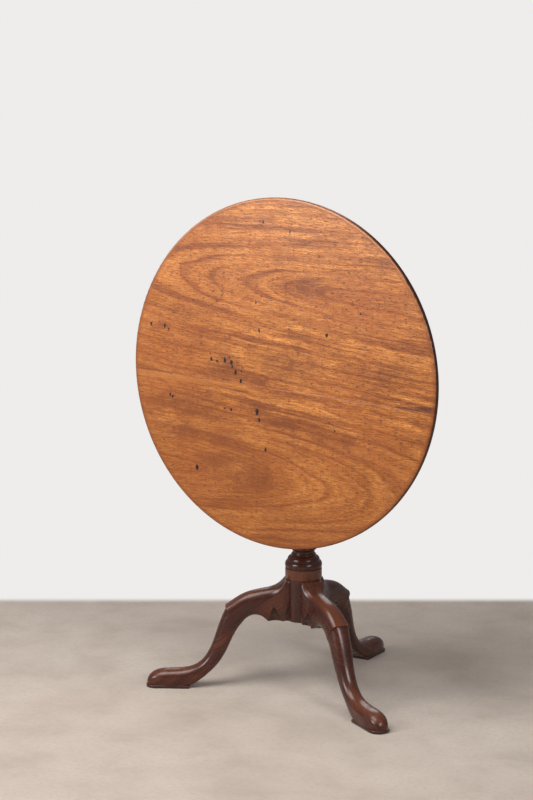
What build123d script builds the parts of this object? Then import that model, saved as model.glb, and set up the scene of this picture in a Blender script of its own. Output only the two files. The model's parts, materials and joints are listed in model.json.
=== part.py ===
"""Round tilt-top tripod table: a two-board top on a pair of bearers, hung on the round tenons of a
pivot block, over a turned column with three dovetailed cabriole legs. Millimetres, +Z up.

The table is stored with its top tilted upright. The origin is on the floor, at the middle of the
stored table's outline: the column's axis stands in front of it, at y = COLUMN_Y. The top faces -Y,
and one leg points to +Y, behind the top.

The top, its bearers and its catch are drawn lying flat in the column's frame, and are then turned
up about the hinge line.
"""

import os
from math import cos, pi, radians, sin

from build123d import *

# Driving dimensions
TOP_DIAMETER = 812.0
TOP_THICKNESS = 18.0
TOP_UPPER_ROUND = 5.0
TOP_LOWER_ROUND = 7.5
BOARD_JOINT_OFFSET = 32.5
BOARD_JOINT_TURN = -2.5

BLOCK_SIDE = 190.0
BLOCK_THICKNESS = 32.0
BLOCK_TOP_Z = 708.0
HINGE_INSET = 15.0
HINGE_DROP = 15.0
HINGE_PIN_RADIUS = 9.0
HINGE_PIN_LENGTH = 37.0
RUNNING_CLEARANCE = 0.08
REST_GAP = 0.2

COLUMN_BASE_Z = 172.0
DRUM_BASE_Z = 273.0
DRUM_TOP_Z = 298.0
DRUM_RADIUS = 43.6
DRUM_ARRIS = 1.2
SOCKET_RADIUS = 41.5
TENON_RADIUS = 20.0

LEG_ANGLES = {"leg_left": 210.0, "leg_right": 330.0, "leg_back": 90.0}
LEG_REACH = 378.0
LEG_TOP_Z = 275.0
LEG_HALF_WIDTH = 24.5
PAD_HALF_WIDTH = 24.5
PAD_LENGTH = 106.0
PAD_THICKNESS = 7.0

BEARER_GAP = 1.0
BEARER_WIDTH = 38.0
BEARER_DEPTH = 28.0
BEARER_END_DEPTH = 10.0
BEARER_TAPER = 75.0
BEARER_LENGTH = 660.0
BEARER_CHAMFER = 2.0
BEARER_SCREW_PLACES = (-235.0, -130.0, 0.0, 130.0, 235.0)

# Worked-out places
UNDERSIDE_Z = BLOCK_TOP_Z + REST_GAP
BLOCK_HALF = BLOCK_SIDE / 2
BLOCK_BASE_Z = BLOCK_TOP_Z - BLOCK_THICKNESS
HINGE_Y = -(BLOCK_HALF - HINGE_INSET)
HINGE_Z = BLOCK_TOP_Z - HINGE_DROP
FRONT_LEG_REACH = (LEG_REACH - PAD_HALF_WIDTH) * cos(radians(60)) + PAD_HALF_WIDTH
COLUMN_Y = -(LEG_REACH - FRONT_LEG_REACH) / 2

TO_FRAME = Pos(0, COLUMN_Y, 0)
TILT_UP = Pos(0, HINGE_Y, HINGE_Z) * Rot(90, 0, 0) * Pos(0, -HINGE_Y, -HINGE_Z)


def box_between(low, high):
    """A box from its lowest to its highest corner."""
    size = [h - l for l, h in zip(low, high)]
    middle = [(h + l) / 2 for l, h in zip(low, high)]
    return Pos(*middle) * Box(*size)


def rod(radius, start, end):
    """A round rod between two points."""
    axis = Vector(*end) - Vector(*start)
    return Plane(origin=start, z_dir=axis) * Cylinder(
        radius, axis.length, align=(Align.CENTER, Align.CENTER, Align.MIN)
    )


def wood_screw(length, shank_radius, head_radius):
    """A countersunk screw with its head's flat face at the origin, pointing along +Z."""
    sink = head_radius - shank_radius
    tip = 1.6 * shank_radius
    outline = Polyline(
        (0, 0),
        (head_radius, 0),
        (shank_radius, sink),
        (shank_radius, length - tip),
        (0.3, length),
        (0, length),
        close=True,
    )
    screw = revolve(Plane.XZ * make_face(outline), Axis.Z)
    slot = Box(3 * head_radius, 1.1, 1.0, align=(Align.CENTER, Align.CENTER, Align.MIN))
    return screw - slot


# Column -------------------------------------------------------------------------------------------


def column_outline():
    """Half the turned profile, from the base's middle up to the tenon's middle."""
    groove = 1.6
    lines = [
        Polyline(
            (0, COLUMN_BASE_Z),
            (SOCKET_RADIUS, COLUMN_BASE_Z),
            (SOCKET_RADIUS, DRUM_BASE_Z - DRUM_ARRIS),
            (DRUM_RADIUS - DRUM_ARRIS, DRUM_BASE_Z - DRUM_ARRIS),
            (DRUM_RADIUS, DRUM_BASE_Z),
            (DRUM_RADIUS, DRUM_TOP_Z - 0.6),
            (DRUM_RADIUS - groove, DRUM_TOP_Z),
            (DRUM_RADIUS - groove, DRUM_TOP_Z + 1.4),
            (DRUM_RADIUS - 0.5, DRUM_TOP_Z + 2.0),
        ),
        # torus over the drum, an ovolo, and the bead that foots the neck
        ThreePointArc(
            (DRUM_RADIUS - 0.5, DRUM_TOP_Z + 2.0), (DRUM_RADIUS + 0.3, 307.0), (40.2, 315.5)
        ),
        Polyline((40.2, 315.5), (38.0, 316.6)),
        ThreePointArc((38.0, 316.6), (36.6, 323.0), (30.4, 328.2)),
        Polyline((30.4, 328.2), (28.0, 328.9)),
        ThreePointArc((28.0, 328.9), (29.6, 331.4), (28.0, 333.9)),
        Polyline((28.0, 333.9), (26.2, 334.6)),
        ThreePointArc((26.2, 334.6), (25.6, 337.6), (27.2, 340.4)),
        # ring under the vase
        ThreePointArc((27.2, 340.4), (30.2, 342.6), (31.4, 345.6)),
        ThreePointArc((31.4, 345.6), (31.9, 348.6), (29.6, 351.0)),
        Polyline((29.6, 351.0), (27.4, 352.0)),
        # vase
        Spline((27.4, 352.0), (37.6, 372.0), (40.2, 392.0), (33.0, 418.0), (24.6, 440.0)),
        Polyline((24.6, 440.0), (24.6, 443.0), (27.0, 444.0)),
        ThreePointArc((27.0, 444.0), (31.0, 448.5), (27.0, 453.0)),
        Polyline((27.0, 453.0), (26.4, 454.0), (28.2, 456.0)),
        # shaft with a slight swelling
        Spline((28.2, 456.0), (28.6, 500.0), (26.6, 560.0), (23.2, 628.0)),
        Polyline((23.2, 628.0), (24.6, 629.5)),
        ThreePointArc((24.6, 629.5), (27.4, 633.0), (24.6, 636.5)),
        Polyline((24.6, 636.5), (23.4, 637.5), (23.4, 648.0), (26.0, 649.5)),
        # capital
        ThreePointArc((26.0, 649.5), (33.6, 654.5), (36.4, 664.0)),
        Polyline(
            (36.4, 664.0),
            (38.0, 665.0),
            (38.0, BLOCK_BASE_Z),
            (TENON_RADIUS, BLOCK_BASE_Z),
            (TENON_RADIUS, BLOCK_TOP_Z),
            (0, BLOCK_TOP_Z),
            (0, COLUMN_BASE_Z),
        ),
    ]
    return make_face(Wire(sum((list(line.edges()) for line in lines), [])))


WEDGE_DEPTH = 27.0


def tenon_wedge():
    """The wedge driven into the tenon's saw cut, across the block's grain."""
    side = Polyline(
        (-2.1, BLOCK_TOP_Z), (2.1, BLOCK_TOP_Z), (0.5, BLOCK_TOP_Z - WEDGE_DEPTH),
        (-0.5, BLOCK_TOP_Z - WEDGE_DEPTH), close=True,
    )
    blank = extrude(Plane.YZ * make_face(side), TENON_RADIUS, both=True)
    return blank & rod(TENON_RADIUS, (0, 0, BLOCK_BASE_Z), (0, 0, BLOCK_TOP_Z))


DOVETAIL_NECK = 10.0
DOVETAIL_BACK = 14.0
DOVETAIL_DEPTH = 15.0
DOVETAIL_TOP_Z = 262.0


def dovetail(angle):
    """One leg's dovetail tenon, which slides up into the column from below."""
    back = SOCKET_RADIUS - DOVETAIL_DEPTH
    front = SOCKET_RADIUS + 3.0
    plan = Polyline(
        (back, -DOVETAIL_BACK), (front, -DOVETAIL_NECK), (front, DOVETAIL_NECK),
        (back, DOVETAIL_BACK), close=True,
    )
    height = DOVETAIL_TOP_Z - COLUMN_BASE_Z
    return Rot(0, 0, angle) * Pos(0, 0, COLUMN_BASE_Z) * extrude(make_face(plan), height)


def column():
    body = revolve(Plane.XZ * column_outline(), Axis.Z)
    for angle in LEG_ANGLES.values():
        body -= dovetail(angle)
    return body - tenon_wedge()


# Legs ---------------------------------------------------------------------------------------------

# Stations down one leg: the outline's upper point and lower point as (reach, height), half the
# width across the leg there, and how square the section is (2 is an ellipse).
LEG_STATIONS = (
    ((34.0, 275.0), (34.0, 172.0), 24.5, 5.0),
    ((46.0, 275.0), (46.0, 172.0), 24.5, 5.0),
    ((57.0, 257.0), (60.0, 172.6), 24.5, 3.6),
    ((73.0, 249.0), (75.0, 173.0), 24.5, 3.1),
    ((91.0, 245.0), (89.0, 175.0), 24.4, 2.9),
    ((109.0, 241.5), (102.0, 181.0), 24.3, 2.8),
    ((128.0, 236.0), (115.0, 183.0), 24.2, 2.8),
    ((148.0, 227.5), (127.0, 179.5), 24.2, 2.8),
    ((166.0, 215.0), (139.0, 171.0), 24.2, 2.8),
    ((181.0, 200.0), (149.5, 159.5), 24.2, 2.8),
    ((191.5, 181.0), (158.5, 147.0), 24.0, 2.8),
    ((198.5, 160.0), (166.0, 132.0), 23.6, 2.7),
    ((205.0, 139.0), (172.5, 117.0), 22.6, 2.6),
    ((211.5, 118.0), (180.0, 99.0), 21.4, 2.5),
    ((220.0, 96.0), (189.0, 80.0), 20.4, 2.5),
    ((232.5, 73.0), (202.0, 60.0), 19.8, 2.5),
    ((250.0, 57.0), (219.0, 41.0), 19.3, 2.5),
    ((270.0, 48.0), (244.0, 22.0), 20.2, 2.5),
    ((293.0, 44.5), (272.0, 7.0), 22.2, 2.6),
    ((320.0, 44.0), (312.0, 3.0), 23.6, 2.7),
    ((344.0, 42.0), (342.0, 3.0), 23.2, 2.7),
    ((362.0, 33.0), (362.0, 4.0), 18.0, 2.4),
    ((372.0, 21.0), (372.0, 6.0), 10.0, 2.2),
)
LEG_SHIN_STATION = 12
SECTION_POINTS = 16
SCALLOP_TIPS = (46.0, 86.0)
SCALLOP_RISE = 3.5


def signed_power(value, exponent):
    return abs(value) ** exponent * (1 if value >= 0 else -1)


def leg_section(upper, lower, half_width, squareness):
    """One closed rounded section, square to the leg's side."""
    middle = Vector((upper[0] + lower[0]) / 2, 0, (upper[1] + lower[1]) / 2)
    half_depth = Vector((upper[0] - lower[0]) / 2, 0, (upper[1] - lower[1]) / 2)
    across = Vector(0, half_width, 0)
    points = []
    for i in range(SECTION_POINTS):
        turn = 2 * pi * i / SECTION_POINTS
        along = signed_power(cos(turn), 2 / squareness)
        side = signed_power(sin(turn), 2 / squareness)
        points.append(middle + half_depth * along + across * side)
    return Face(Wire(Spline(*points, periodic=True).edges()))


def foot_pad():
    """The flat pad under the foot: a square heel and a round toe."""
    heel = LEG_REACH - PAD_LENGTH
    toe = LEG_REACH - PAD_HALF_WIDTH
    plan = Wire([
        *Polyline((toe, -PAD_HALF_WIDTH), (heel, -PAD_HALF_WIDTH), (heel, PAD_HALF_WIDTH),
                  (toe, PAD_HALF_WIDTH)).edges(),
        *ThreePointArc((toe, PAD_HALF_WIDTH), (LEG_REACH, 0), (toe, -PAD_HALF_WIDTH)).edges(),
    ])
    pad = extrude(make_face(plan), PAD_THICKNESS)
    return chamfer(pad.edges().group_by(Axis.Z)[-1], 1.2)


def leg():
    """A leg along +X: the shaped limb, its pad, and its dovetail."""
    sections = [leg_section(*station) for station in LEG_STATIONS]
    body = loft(sections[: LEG_SHIN_STATION + 1]) + loft(sections[LEG_SHIN_STATION:])
    body += foot_pad()
    body &= box_between((0, -LEG_HALF_WIDTH, 0), (LEG_REACH + 1, LEG_HALF_WIDTH, LEG_TOP_Z))
    # the underside's shallow scallops, between the tips
    tips = (SCALLOP_TIPS[0] - (SCALLOP_TIPS[1] - SCALLOP_TIPS[0]), *SCALLOP_TIPS)
    for low, high in zip(tips, tips[1:]):
        half = (high - low) / 2
        radius = (half**2 + SCALLOP_RISE**2) / (2 * SCALLOP_RISE)
        middle = (low + high) / 2
        height = COLUMN_BASE_Z + SCALLOP_RISE - radius
        body -= rod(radius, (middle, -40, height), (middle, 40, height))
    shoulder_z = DRUM_BASE_Z - DRUM_ARRIS
    body -= rod(SOCKET_RADIUS, (0, 0, 0), (0, 0, shoulder_z))
    body -= rod(DRUM_RADIUS, (0, 0, shoulder_z), (0, 0, DRUM_TOP_Z))
    return body + dovetail(0)


# Iron brace under the column ------------------------------------------------------------------------

BRACE_THICKNESS = 3.0
BRACE_ARM_HALF_WIDTH = 11.0
BRACE_ARM_REACH = 84.0
BRACE_HUB_RADIUS = 24.0
BRACE_NAIL_REACHES = (33.0, 72.0)


def brace_plate():
    z = COLUMN_BASE_Z - BRACE_THICKNESS
    plate = rod(BRACE_HUB_RADIUS, (0, 0, z), (0, 0, COLUMN_BASE_Z))
    for angle in LEG_ANGLES.values():
        end = BRACE_ARM_REACH - BRACE_ARM_HALF_WIDTH
        arm = box_between((0, -BRACE_ARM_HALF_WIDTH, z), (end, BRACE_ARM_HALF_WIDTH, COLUMN_BASE_Z))
        arm += rod(BRACE_ARM_HALF_WIDTH, (end, 0, z), (end, 0, COLUMN_BASE_Z))
        plate += Rot(0, 0, angle) * arm
    for nail in brace_nail_list():
        plate -= nail
    return plate


def brace_nail_list():
    """Clout nails driven up through the brace: one in the hub and two in each arm."""
    head_z = COLUMN_BASE_Z - BRACE_THICKNESS
    nail = revolve(
        Plane.XZ * make_face(Polyline(
            (0, -1.6), (2.4, -1.4), (4.0, -0.4), (4.0, 0), (1.5, 0), (1.5, 17.0), (0.3, 24.0),
            (0, 24.0), close=True,
        )),
        Axis.Z,
    )
    nails = [Pos(0, 0, head_z) * nail]
    for angle in LEG_ANGLES.values():
        for reach in BRACE_NAIL_REACHES:
            nails.append(Rot(0, 0, angle) * Pos(reach, 0, head_z) * nail)
    return nails


# Pivot block --------------------------------------------------------------------------------------

STRIKE_Z = 696.0
STRIKE_HALF_WIDTH = 22.0
STRIKE_HALF_HEIGHT = 9.0
STRIKE_THICKNESS = 2.0
STRIKE_HOLE_HALF_WIDTH = 6.5
STRIKE_HOLE_HALF_HEIGHT = 4.6
STRIKE_SCREW_X = 16.0
MORTISE_DEPTH = 16.0
MORTISE_MARGIN = 1.2


def strike_box(half_width, half_height, depth):
    """A box sunk into the block's back edge, about the middle of the strike."""
    return box_between(
        (-half_width, BLOCK_HALF - depth, STRIKE_Z - half_height),
        (half_width, BLOCK_HALF, STRIKE_Z + half_height),
    )


def strike_plate():
    """The brass keeper let into the block's edge, with the hole that takes the catch's bolt."""
    plate = strike_box(STRIKE_HALF_WIDTH, STRIKE_HALF_HEIGHT, STRIKE_THICKNESS)
    plate -= strike_box(STRIKE_HOLE_HALF_WIDTH, STRIKE_HOLE_HALF_HEIGHT, STRIKE_THICKNESS)
    for screw in strike_screw_list():
        plate -= screw
    return plate


def strike_screw_list():
    screw = wood_screw(16.0, 1.5, 3.2)
    return [
        Pos(side * STRIKE_SCREW_X, BLOCK_HALF, STRIKE_Z) * Rot(90, 0, 0) * screw
        for side in (-1, 1)
    ]


def pivot_block():
    """The square block on the column's tenon, with a round tenon standing out at each end of its
    rounded front edge."""
    body = box_between((-BLOCK_HALF, HINGE_Y, BLOCK_BASE_Z), (BLOCK_HALF, BLOCK_HALF, BLOCK_TOP_Z))
    body += box_between((-BLOCK_HALF, -BLOCK_HALF, BLOCK_BASE_Z), (BLOCK_HALF, HINGE_Y, HINGE_Z))
    body += rod(HINGE_INSET, (-BLOCK_HALF, HINGE_Y, HINGE_Z), (BLOCK_HALF, HINGE_Y, HINGE_Z))
    pin_end = BLOCK_HALF + HINGE_PIN_LENGTH
    body += rod(HINGE_PIN_RADIUS, (-pin_end, HINGE_Y, HINGE_Z), (pin_end, HINGE_Y, HINGE_Z))
    body -= rod(TENON_RADIUS, (0, 0, BLOCK_BASE_Z), (0, 0, BLOCK_TOP_Z))
    body -= strike_box(STRIKE_HALF_WIDTH, STRIKE_HALF_HEIGHT, STRIKE_THICKNESS)
    body -= strike_box(
        STRIKE_HOLE_HALF_WIDTH + MORTISE_MARGIN,
        STRIKE_HOLE_HALF_HEIGHT + MORTISE_MARGIN,
        MORTISE_DEPTH,
    )
    for screw in strike_screw_list():
        body -= screw
    return body


# Top ----------------------------------------------------------------------------------------------


def top_boards():
    """The round top, ripped along the glue line into its wide and its narrow board."""
    radius = TOP_DIAMETER / 2
    top_z = UNDERSIDE_Z + TOP_THICKNESS
    outline = Wire([
        *Line((0, UNDERSIDE_Z), (radius - TOP_LOWER_ROUND, UNDERSIDE_Z)).edges(),
        *RadiusArc((radius - TOP_LOWER_ROUND, UNDERSIDE_Z), (radius, UNDERSIDE_Z + TOP_LOWER_ROUND),
                   -TOP_LOWER_ROUND).edges(),
        *Line((radius, UNDERSIDE_Z + TOP_LOWER_ROUND), (radius, top_z - TOP_UPPER_ROUND)).edges(),
        *RadiusArc((radius, top_z - TOP_UPPER_ROUND), (radius - TOP_UPPER_ROUND, top_z),
                   -TOP_UPPER_ROUND).edges(),
        *Polyline((radius - TOP_UPPER_ROUND, top_z), (0, top_z), (0, UNDERSIDE_Z)).edges(),
    ])
    disc = revolve(Plane.XZ * make_face(outline), Axis.Z)
    for screw in bearer_screw_list(-1) + bearer_screw_list(1) + catch_screw_list():
        disc -= screw
    reach = TOP_DIAMETER
    above = Pos(0, -BOARD_JOINT_OFFSET, 0) * Rot(0, 0, BOARD_JOINT_TURN) * box_between(
        (-reach, 0, 0), (reach, reach, 2 * BLOCK_TOP_Z)
    )
    return disc & above, disc - above


def bearer_screw_list(side):
    x = side * (BLOCK_HALF + BEARER_GAP + BEARER_WIDTH / 2)
    screw = wood_screw(38.0, 2.4, 4.8)
    head_z = UNDERSIDE_Z - BEARER_DEPTH
    return [Pos(x, y, head_z) * screw for y in BEARER_SCREW_PLACES]


def bearer(side):
    """A bearer across the boards, tapered to its ends, bored for the block's tenon."""
    half = BEARER_LENGTH / 2
    low = UNDERSIDE_Z - BEARER_DEPTH
    end_z = UNDERSIDE_Z - BEARER_END_DEPTH
    outline = Polyline(
        (-half, UNDERSIDE_Z), (-half, end_z), (-half + BEARER_TAPER, low),
        (half - BEARER_TAPER, low), (half, end_z), (half, UNDERSIDE_Z), close=True,
    )
    inner = BLOCK_HALF + BEARER_GAP
    outer = inner + BEARER_WIDTH
    body = Pos(inner, 0, 0) * extrude(Plane.YZ * make_face(outline), BEARER_WIDTH)
    body = chamfer(body.faces().sort_by(Axis.X)[-1].edges(), BEARER_CHAMFER)
    if side < 0:
        body = mirror(body, Plane.YZ)
    bore = HINGE_PIN_RADIUS + RUNNING_CLEARANCE
    body -= rod(bore, (side * inner, HINGE_Y, HINGE_Z), (side * outer, HINGE_Y, HINGE_Z))
    for screw in bearer_screw_list(side):
        body -= screw
    return body


# Brass spring catch ---------------------------------------------------------------------------------

CATCH_Y = BLOCK_HALF + 4.0
CATCH_PLATE_LENGTH = 66.0
CATCH_PLATE_HALF_WIDTH = 20.0
CATCH_PLATE_THICKNESS = 2.0
CASE_LENGTH = 52.0
CASE_HALF_WIDTH = 9.0
CASE_WALL = 3.0
BOLT_HALF_WIDTH = 5.0
BOLT_LOW_Z = STRIKE_Z - 3.0
BOLT_HIGH_Z = STRIKE_Z + 3.0
BOLT_TIP_Y = BLOCK_HALF - 9.0
BOLT_LENGTH = 45.0
BOLT_TRAVEL = 10.0
BOLT_PLAY = 0.25
KNOB_Y = CATCH_Y + 13.0
KNOB_STEM_RADIUS = 2.2
KNOB_SLOT_PLAY = 0.4
KNOB_RADIUS = 7.5
KNOB_COLLAR_RADIUS = 4.2
KNOB_RIVET_DEPTH = 4.0
SPRING_RADIUS = 2.2
SPRING_WIRE = 0.45
SPRING_TURNS = 7


def catch_screw_list():
    head_z = UNDERSIDE_Z - CATCH_PLATE_THICKNESS
    screw = wood_screw(13.0, 1.4, 2.9)
    return [
        Pos(side * (CATCH_PLATE_HALF_WIDTH - 5), CATCH_Y + y, head_z) * screw
        for side in (-1, 1)
        for y in (6.0, CATCH_PLATE_LENGTH - 6.0)
    ]


def catch_plate():
    z = UNDERSIDE_Z - CATCH_PLATE_THICKNESS
    plate = box_between(
        (-CATCH_PLATE_HALF_WIDTH, CATCH_Y, z),
        (CATCH_PLATE_HALF_WIDTH, CATCH_Y + CATCH_PLATE_LENGTH, UNDERSIDE_Z),
    )
    plate = fillet(plate.edges().filter_by(Axis.Z), 4.0)
    for screw in catch_screw_list():
        plate -= screw
    return plate


def catch_case():
    """The brass box that the bolt slides in, open at its nose end and slotted for the knob."""
    high = UNDERSIDE_Z - CATCH_PLATE_THICKNESS
    low = BOLT_LOW_Z - BOLT_PLAY - CASE_WALL
    body = box_between(
        (-CASE_HALF_WIDTH, CATCH_Y, low), (CASE_HALF_WIDTH, CATCH_Y + CASE_LENGTH, high)
    )
    body = chamfer(body.edges().filter_by(Axis.Y).group_by(Axis.Z)[0], 1.5)
    side = BOLT_HALF_WIDTH + BOLT_PLAY
    body -= box_between(
        (-side, CATCH_Y, BOLT_LOW_Z - BOLT_PLAY),
        (side, CATCH_Y + CASE_LENGTH - CASE_WALL, BOLT_HIGH_Z + BOLT_PLAY),
    )
    slot = KNOB_STEM_RADIUS + KNOB_SLOT_PLAY
    body -= box_between(
        (-slot, KNOB_Y - slot, low), (slot, KNOB_Y + BOLT_TRAVEL + slot, BOLT_LOW_Z)
    )
    return body


def catch_bolt():
    """The sliding bolt, with a bevelled nose that rides over the block's edge."""
    outline = Polyline(
        (BOLT_TIP_Y, BOLT_HIGH_Z), (BOLT_TIP_Y, BOLT_HIGH_Z - 2.0), (BOLT_TIP_Y + 5.0, BOLT_LOW_Z),
        (BOLT_TIP_Y + BOLT_LENGTH, BOLT_LOW_Z), (BOLT_TIP_Y + BOLT_LENGTH, BOLT_HIGH_Z), close=True,
    )
    body = extrude(Plane.YZ * make_face(outline), BOLT_HALF_WIDTH, both=True)
    rivet_hole = rod(
        KNOB_STEM_RADIUS, (0, KNOB_Y, BOLT_LOW_Z - 1), (0, KNOB_Y, BOLT_LOW_Z + KNOB_RIVET_DEPTH)
    )
    return body - rivet_hole


def catch_knob():
    """A turned brass knob on a stem that is riveted into the bolt."""
    stem_top = BOLT_LOW_Z + KNOB_RIVET_DEPTH
    collar_top = BOLT_LOW_Z - BOLT_PLAY - CASE_WALL - 1.0
    collar_base = collar_top - 1.6
    ball_z = collar_base - 1.0 - KNOB_RADIUS
    knob = Pos(0, 0, ball_z) * Sphere(KNOB_RADIUS)
    knob += rod(KNOB_STEM_RADIUS, (0, 0, ball_z), (0, 0, stem_top))
    knob += rod(KNOB_COLLAR_RADIUS, (0, 0, collar_base), (0, 0, collar_top))
    return Pos(0, KNOB_Y, 0) * knob


def catch_spring():
    """The coil spring between the bolt's tail and the case's end wall."""
    start = BOLT_TIP_Y + BOLT_LENGTH + SPRING_WIRE + REST_GAP
    end = CATCH_Y + CASE_LENGTH - CASE_WALL - SPRING_WIRE
    length = end - start
    path = Helix(length / SPRING_TURNS, length, SPRING_RADIUS)
    section = Plane(origin=path @ 0, z_dir=path % 0) * Circle(SPRING_WIRE)
    coil = sweep(section, path)
    return Pos(0, start, STRIKE_Z) * Rot(-90, 0, 0) * coil


# Everything ---------------------------------------------------------------------------------------


def pedestal_parts():
    one_leg = leg()
    parts = {
        "column": column(),
        "tenon_wedge": tenon_wedge(),
        "brace_plate": brace_plate(),
        "brace_nails": Compound(brace_nail_list()),
        "pivot_block": pivot_block(),
        "strike_plate": strike_plate(),
        "strike_screws": Compound(strike_screw_list()),
    }
    nails = brace_nail_list()
    for name, angle in LEG_ANGLES.items():
        placed = Rot(0, 0, angle) * one_leg
        for nail in nails:
            placed -= nail
        parts[name] = placed
    for nail in nails:
        parts["column"] -= nail
    return parts


def tabletop_parts():
    upper, lower = top_boards()
    return {
        "top_board_wide": upper,
        "top_board_narrow": lower,
        "bearer_left": bearer(-1),
        "bearer_right": bearer(1),
        "bearer_screws_left": Compound(bearer_screw_list(-1)),
        "bearer_screws_right": Compound(bearer_screw_list(1)),
        "catch_plate": catch_plate(),
        "catch_case": catch_case(),
        "catch_screws": Compound(catch_screw_list()),
        "catch_spring": catch_spring(),
        "catch_bolt": catch_bolt(),
        "catch_knob": catch_knob(),
    }


def main():
    os.makedirs("parts", exist_ok=True)
    for name, shape in pedestal_parts().items():
        export_step(TO_FRAME * shape, f"parts/{name}.step")
    for name, shape in tabletop_parts().items():
        export_step(TO_FRAME * TILT_UP * shape, f"parts/{name}.step")
    hinge = TO_FRAME * Pos(0, HINGE_Y, HINGE_Z)
    print("column axis y", COLUMN_Y, "hinge", hinge.position)


main()
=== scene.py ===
# %% [markdown]
# # A tilt-top tripod table
#
# A round mahogany top, stored upright, hangs on a square block over a turned column with three carved
# cabriole legs. The CAD model already holds every size and every joint. This lesson gives the table its
# looks: it carves the legs, turns the column, and finishes every surface in wax, dust, ink spots and
# worn edges. The boards, the bearers, the block and the metalwork keep their CAD shapes, some of them
# with softened arrises.

from math import atan2, pi, radians

import bmesh
import bpy
from mathutils import Matrix, Vector
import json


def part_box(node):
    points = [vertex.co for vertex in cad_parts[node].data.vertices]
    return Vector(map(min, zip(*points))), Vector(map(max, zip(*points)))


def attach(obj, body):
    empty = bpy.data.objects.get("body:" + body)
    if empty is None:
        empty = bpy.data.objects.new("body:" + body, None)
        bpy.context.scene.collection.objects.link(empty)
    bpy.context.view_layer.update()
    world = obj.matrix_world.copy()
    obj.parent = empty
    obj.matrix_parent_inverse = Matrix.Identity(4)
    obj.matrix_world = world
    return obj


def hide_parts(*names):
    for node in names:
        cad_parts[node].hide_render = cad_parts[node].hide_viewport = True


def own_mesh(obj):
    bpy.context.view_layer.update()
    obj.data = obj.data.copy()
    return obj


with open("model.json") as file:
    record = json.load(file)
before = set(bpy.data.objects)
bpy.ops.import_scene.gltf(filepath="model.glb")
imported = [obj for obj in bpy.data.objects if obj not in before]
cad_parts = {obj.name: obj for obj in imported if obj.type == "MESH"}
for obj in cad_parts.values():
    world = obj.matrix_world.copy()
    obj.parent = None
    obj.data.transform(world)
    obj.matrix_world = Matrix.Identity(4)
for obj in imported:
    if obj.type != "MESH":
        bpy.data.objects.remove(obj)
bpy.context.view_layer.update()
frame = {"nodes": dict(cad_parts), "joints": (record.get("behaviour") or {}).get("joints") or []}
nodes = frame["nodes"]
MM = 0.001
TOUCHING = 0.01 * MM

# %% [markdown]
# Every place in this script is measured from a few facts that the frame gives: where the column's axis
# stands, where the top's polished face is, and where the hinge runs. Reading them from the frame keeps
# the Blender pieces in step with the CAD model.

# %% Read the table's main places from the frame
column_low, column_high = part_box("column")
axis_y = (column_low.y + column_high.y) / 2
wide_low, wide_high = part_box("top_board_wide")
narrow_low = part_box("top_board_narrow")[0]
face_y = wide_low.y
underside_y = wide_high.y
top_radius = (wide_high.x - wide_low.x) / 2
top_middle = Vector((0, face_y, (narrow_low.z + wide_high.z) / 2))
block_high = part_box("pivot_block")[1]
hinge = Vector(frame["joints"][0]["pos_m"])
print("Column axis at y =", round(axis_y, 4), "and top face at y =", round(face_y, 4))
print("The top is", round(2 * top_radius, 3), "m across, its middle", round(top_middle.z, 3), "m up")

# %% [markdown]
# ## Working by hand
#
# Each new piece starts as a primitive and is shaped in edit mode, just as a person would do it with the
# mouse. Operators act on whatever is selected, so these helpers let go of everything, open one piece,
# and pick the corners that the next operator should move.


# %% Helpers to start, open and close a piece
def let_go():
    bpy.ops.object.select_all(action="DESELECT")


def hold(piece):
    let_go()
    piece.select_set(True)
    bpy.context.view_layer.objects.active = piece


def turn(angle, axis, center=(0, 0, 0)):
    """Turns what is selected. With no window the operator turns the other way round."""
    bpy.ops.transform.rotate(value=-angle, orient_axis=axis, center_override=center)


def open_piece(piece):
    hold(piece)
    bpy.ops.object.mode_set(mode="EDIT")
    bpy.ops.mesh.select_mode(type="VERT")


def close_piece():
    bpy.ops.object.mode_set(mode="OBJECT")


def new_piece(name):
    """Names the primitive that was added last, and empties its place into its mesh."""
    piece = bpy.context.object
    piece.name = name
    piece.data.name = name
    bpy.ops.object.transform_apply(location=True, rotation=True, scale=True)
    return piece


def empty_piece(name):
    """An object with no corners yet, left open in edit mode."""
    let_go()
    bpy.ops.mesh.primitive_plane_add(size=1)
    piece = new_piece(name)
    open_piece(piece)
    bpy.ops.mesh.select_all(action="SELECT")
    bpy.ops.mesh.delete(type="VERT")
    return piece


def pick(piece, test):
    """Selects the corners that pass a test on their place."""
    bpy.ops.mesh.select_all(action="DESELECT")
    mesh = bmesh.from_edit_mesh(piece.data)
    mesh.verts.index_update()
    for corner in mesh.verts:
        corner.select_set(test(corner))
    mesh.select_flush(True)
    bmesh.update_edit_mesh(piece.data)


def pick_edges(piece, test):
    """Selects the edges that pass a test on their two ends."""
    bpy.ops.mesh.select_mode(type="EDGE")
    bpy.ops.mesh.select_all(action="DESELECT")
    mesh = bmesh.from_edit_mesh(piece.data)
    for edge in mesh.edges:
        edge.select_set(test(*(corner.co for corner in edge.verts)))
    bmesh.update_edit_mesh(piece.data)


def add_modifier(piece, kind, **settings):
    """Adds a modifier and applies it at once, so that its shape becomes the mesh."""
    hold(piece)
    modifier = piece.modifiers.new(kind.title(), kind)
    for name, value in settings.items():
        setattr(modifier, name, value)
    bpy.ops.object.modifier_apply(modifier=modifier.name)


def smooth(piece, angle):
    hold(piece)
    bpy.ops.object.shade_smooth_by_angle(angle=radians(angle))


def copy_piece(piece, name):
    hold(piece)
    bpy.ops.object.duplicate()
    made = bpy.context.object
    made.name = name
    made.data.name = name
    return made


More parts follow.
